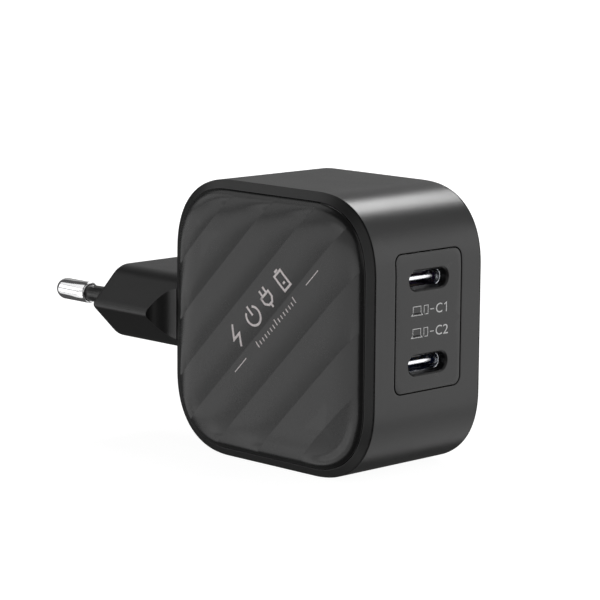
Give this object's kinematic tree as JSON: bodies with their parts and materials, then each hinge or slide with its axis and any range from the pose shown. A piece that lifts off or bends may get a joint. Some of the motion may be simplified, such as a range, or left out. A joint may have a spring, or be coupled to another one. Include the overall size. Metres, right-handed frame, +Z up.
{
  "type": "usb wall charger",
  "caption": "Rounded square USB-C wall charger with wavy side covers, a flush port insert and a fixed round-pin plug.",
  "frame": {"origin": "centre of the plug's engagement face, midway between the two pins", "axes": "+Y along the pins into the socket, +Z up with the port label row upright, +X to the right seen from the port face"},
  "size_m": [0.0352, 0.0877, 0.05],
  "materials": {
    "shell_plastic": "fine matte texture",
    "bezel_plastic": "satin",
    "cover_plastic": "fine matte texture",
    "insert_plastic": "fine matte texture",
    "boss_plastic": "fine matte texture",
    "sleeve_plastic": "satin",
    "pin_nickel": "nickel plated brass",
    "receptacle_steel": "drawn and plated",
    "tongue_plastic": "moulded",
    "carrier_plastic": "moulded",
    "board_laminate": "solder mask",
    "component_epoxy": "moulded epoxy",
    "ferrite": "sintered",
    "bobbin_plastic": "phenolic",
    "winding_tape": "polyester tape over wire",
    "winding_copper": "enamelled copper wire",
    "capacitor_sleeve": "shrink sleeve",
    "can_aluminium": "drawn can",
    "film_capacitor_resin": "resin filled box",
    "fuse_body": "moulded",
    "disc_coating": "dipped coating",
    "disc_coating_blue": "dipped coating",
    "lead_brown": "insulated lead",
    "lead_blue": "insulated lead",
    "spreader_aluminium": "sheet",
    "insulation_film": "polyester film"
  },
  "bodies": {
    "root": {"body_shell": "shell_plastic", "left_bezel": "bezel_plastic", "right_bezel": "bezel_plastic", "left_cover": "cover_plastic", "right_cover": "cover_plastic", "port_insert": "insert_plastic", "usb_shell_upper": "receptacle_steel", "usb_shell_lower": "receptacle_steel", "usb_tongue_upper": "tongue_plastic", "usb_tongue_lower": "tongue_plastic", "plug_boss": "boss_plastic", "pin_left": "pin_nickel", "pin_right": "pin_nickel", "sleeve_left": "sleeve_plastic", "sleeve_right": "sleeve_plastic", "pin_carrier": "carrier_plastic", "line_wire": "lead_brown", "neutral_wire": "lead_blue", "main_board": "board_laminate", "port_board": "board_laminate", "transformer_core_lower": "ferrite", "transformer_core_upper": "ferrite", "transformer_bobbin": "bobbin_plastic", "transformer_winding": "winding_tape", "bulk_capacitor_upper": "capacitor_sleeve", "bulk_capacitor_lower": "capacitor_sleeve", "output_capacitor_upper": "can_aluminium", "output_capacitor_lower": "can_aluminium", "choke_core": "ferrite", "choke_winding_upper": "winding_copper", "choke_winding_lower": "winding_copper", "line_filter_capacitor": "film_capacitor_resin", "input_fuse": "fuse_body", "inrush_thermistor": "disc_coating", "bridge_rectifier": "component_epoxy", "switching_ic": "component_epoxy", "synchronous_rectifier": "component_epoxy", "port_controller": "component_epoxy", "optocoupler": "component_epoxy", "safety_capacitor": "disc_coating_blue", "port_inductor_upper": "component_epoxy", "port_inductor_lower": "component_epoxy", "heat_spreader_left": "spreader_aluminium", "heat_spreader_right": "spreader_aluminium", "insulation_sheet": "insulation_film"}
  },
  "joints": []
}
